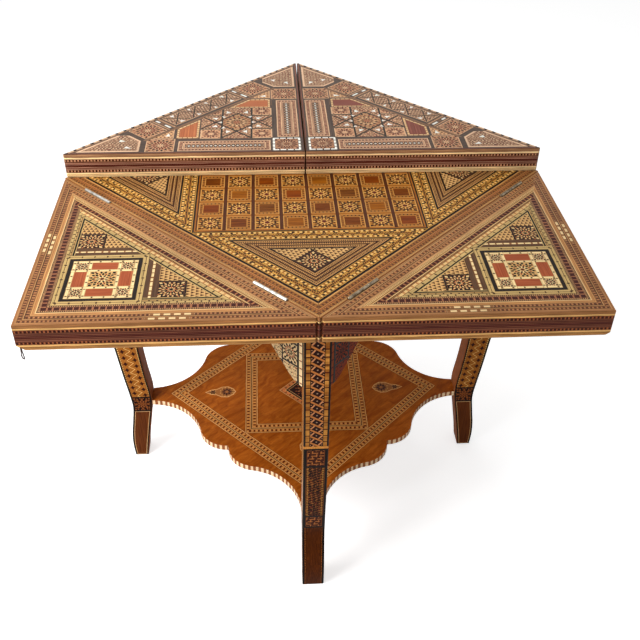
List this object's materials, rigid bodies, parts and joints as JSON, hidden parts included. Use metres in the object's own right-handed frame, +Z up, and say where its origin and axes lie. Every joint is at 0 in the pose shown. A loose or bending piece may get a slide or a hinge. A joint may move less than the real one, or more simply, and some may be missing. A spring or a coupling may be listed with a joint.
{
  "type": "folding game table",
  "caption": "Square marquetry game table set cornerwise on sabre legs with a low shelf; triangular flaps hinged along its sides fold out to a larger top",
  "frame": {"origin": "on the floor under the middle of the square table top", "axes": "+Z up; -Y points to the front leg, between the two open flaps; +X to the right leg"},
  "size_m": [0.8878, 0.8878, 0.7616],
  "materials": {
    "playing_marquetry": "lacquered marquetry of walnut, rosewood, lemonwood and mother-of-pearl",
    "outer_marquetry": "lacquered marquetry with mother-of-pearl, duller than the playing side",
    "banded_edge": "lacquered striped and dotted banding",
    "apron_marquetry": "lacquered micro-mosaic veneer",
    "leg_marquetry": "lacquered micro-mosaic veneer over walnut",
    "shelf_marquetry": "lacquered figured veneer with inlaid bands",
    "plain_walnut": "oiled plain walnut",
    "nickelled_steel": "worn nickel plate",
    "leather_thong": "dark waxed thong"
  },
  "bodies": {
    "table": {"back_corner_block": "plain_walnut", "back_left_apron": "apron_marquetry", "back_left_hinge_1_box_leaf": "nickelled_steel", "back_left_hinge_1_pin": "nickelled_steel", "back_left_hinge_2_box_leaf": "nickelled_steel", "back_left_hinge_2_pin": "nickelled_steel", "back_left_top_rail": "banded_edge", "back_leg": "leg_marquetry", "back_leg_screw": "nickelled_steel", "back_right_apron": "apron_marquetry", "back_right_hinge_1_box_leaf": "nickelled_steel", "back_right_hinge_1_pin": "nickelled_steel", "back_right_hinge_2_box_leaf": "nickelled_steel", "back_right_hinge_2_pin": "nickelled_steel", "back_right_top_rail": "banded_edge", "box_floor": "plain_walnut", "front_corner_block": "plain_walnut", "front_left_apron": "apron_marquetry", "front_left_hinge_1_box_leaf": "nickelled_steel", "front_left_hinge_1_pin": "nickelled_steel", "front_left_hinge_2_box_leaf": "nickelled_steel", "front_left_hinge_2_pin": "nickelled_steel", "front_left_top_rail": "banded_edge", "front_leg": "leg_marquetry", "front_leg_screw": "nickelled_steel", "front_right_apron": "apron_marquetry", "front_right_hinge_1_box_leaf": "nickelled_steel", "front_right_hinge_1_pin": "nickelled_steel", "front_right_hinge_2_box_leaf": "nickelled_steel", "front_right_hinge_2_pin": "nickelled_steel", "front_right_top_rail": "banded_edge", "left_corner_block": "plain_walnut", "left_leg": "leg_marquetry", "left_leg_screw": "nickelled_steel", "playing_board": "playing_marquetry", "right_corner_block": "plain_walnut", "right_leg": "leg_marquetry", "right_leg_screw": "nickelled_steel", "shelf": "shelf_marquetry"},
    "front_left_flap": {"front_left_flap_core": "banded_edge", "front_left_hinge_1_flap_leaf": "nickelled_steel", "front_left_hinge_2_flap_leaf": "nickelled_steel", "front_left_inner_panel": "playing_marquetry", "front_left_outer_panel": "outer_marquetry", "pull_loop": "leather_thong"},
    "front_right_flap": {"front_right_flap_core": "banded_edge", "front_right_hinge_1_flap_leaf": "nickelled_steel", "front_right_hinge_2_flap_leaf": "nickelled_steel", "front_right_inner_panel": "playing_marquetry", "front_right_outer_panel": "outer_marquetry"},
    "back_right_flap": {"back_right_flap_core": "banded_edge", "back_right_hinge_1_flap_leaf": "nickelled_steel", "back_right_hinge_2_flap_leaf": "nickelled_steel", "back_right_inner_panel": "playing_marquetry", "back_right_outer_panel": "outer_marquetry"},
    "back_left_flap": {"back_left_flap_core": "banded_edge", "back_left_hinge_1_flap_leaf": "nickelled_steel", "back_left_hinge_2_flap_leaf": "nickelled_steel", "back_left_inner_panel": "playing_marquetry", "back_left_outer_panel": "outer_marquetry"}
  },
  "joints": [
    {"name": "front_left_flap_hinge", "type": "hinge", "parent": "table", "child": "front_left_flap", "pos_m": [-0.22224, -0.22224, 0.7153], "axis": [-0.7071, 0.7071, 0], "range_deg": [0, 180]},
    {"name": "front_right_flap_hinge", "type": "hinge", "parent": "table", "child": "front_right_flap", "pos_m": [0.22224, -0.22224, 0.7153], "axis": [-0.7071, -0.7071, 0], "range_deg": [0, 180]},
    {"name": "back_right_flap_hinge", "type": "hinge", "parent": "table", "child": "back_right_flap", "pos_m": [0.22224, 0.22224, 0.7153], "axis": [-0.7071, 0.7071, 0], "range_deg": [0, 180]},
    {"name": "back_left_flap_hinge", "type": "hinge", "parent": "table", "child": "back_left_flap", "pos_m": [-0.22224, 0.22224, 0.7153], "axis": [-0.7071, -0.7071, 0], "range_deg": [0, 180]}
  ]
}
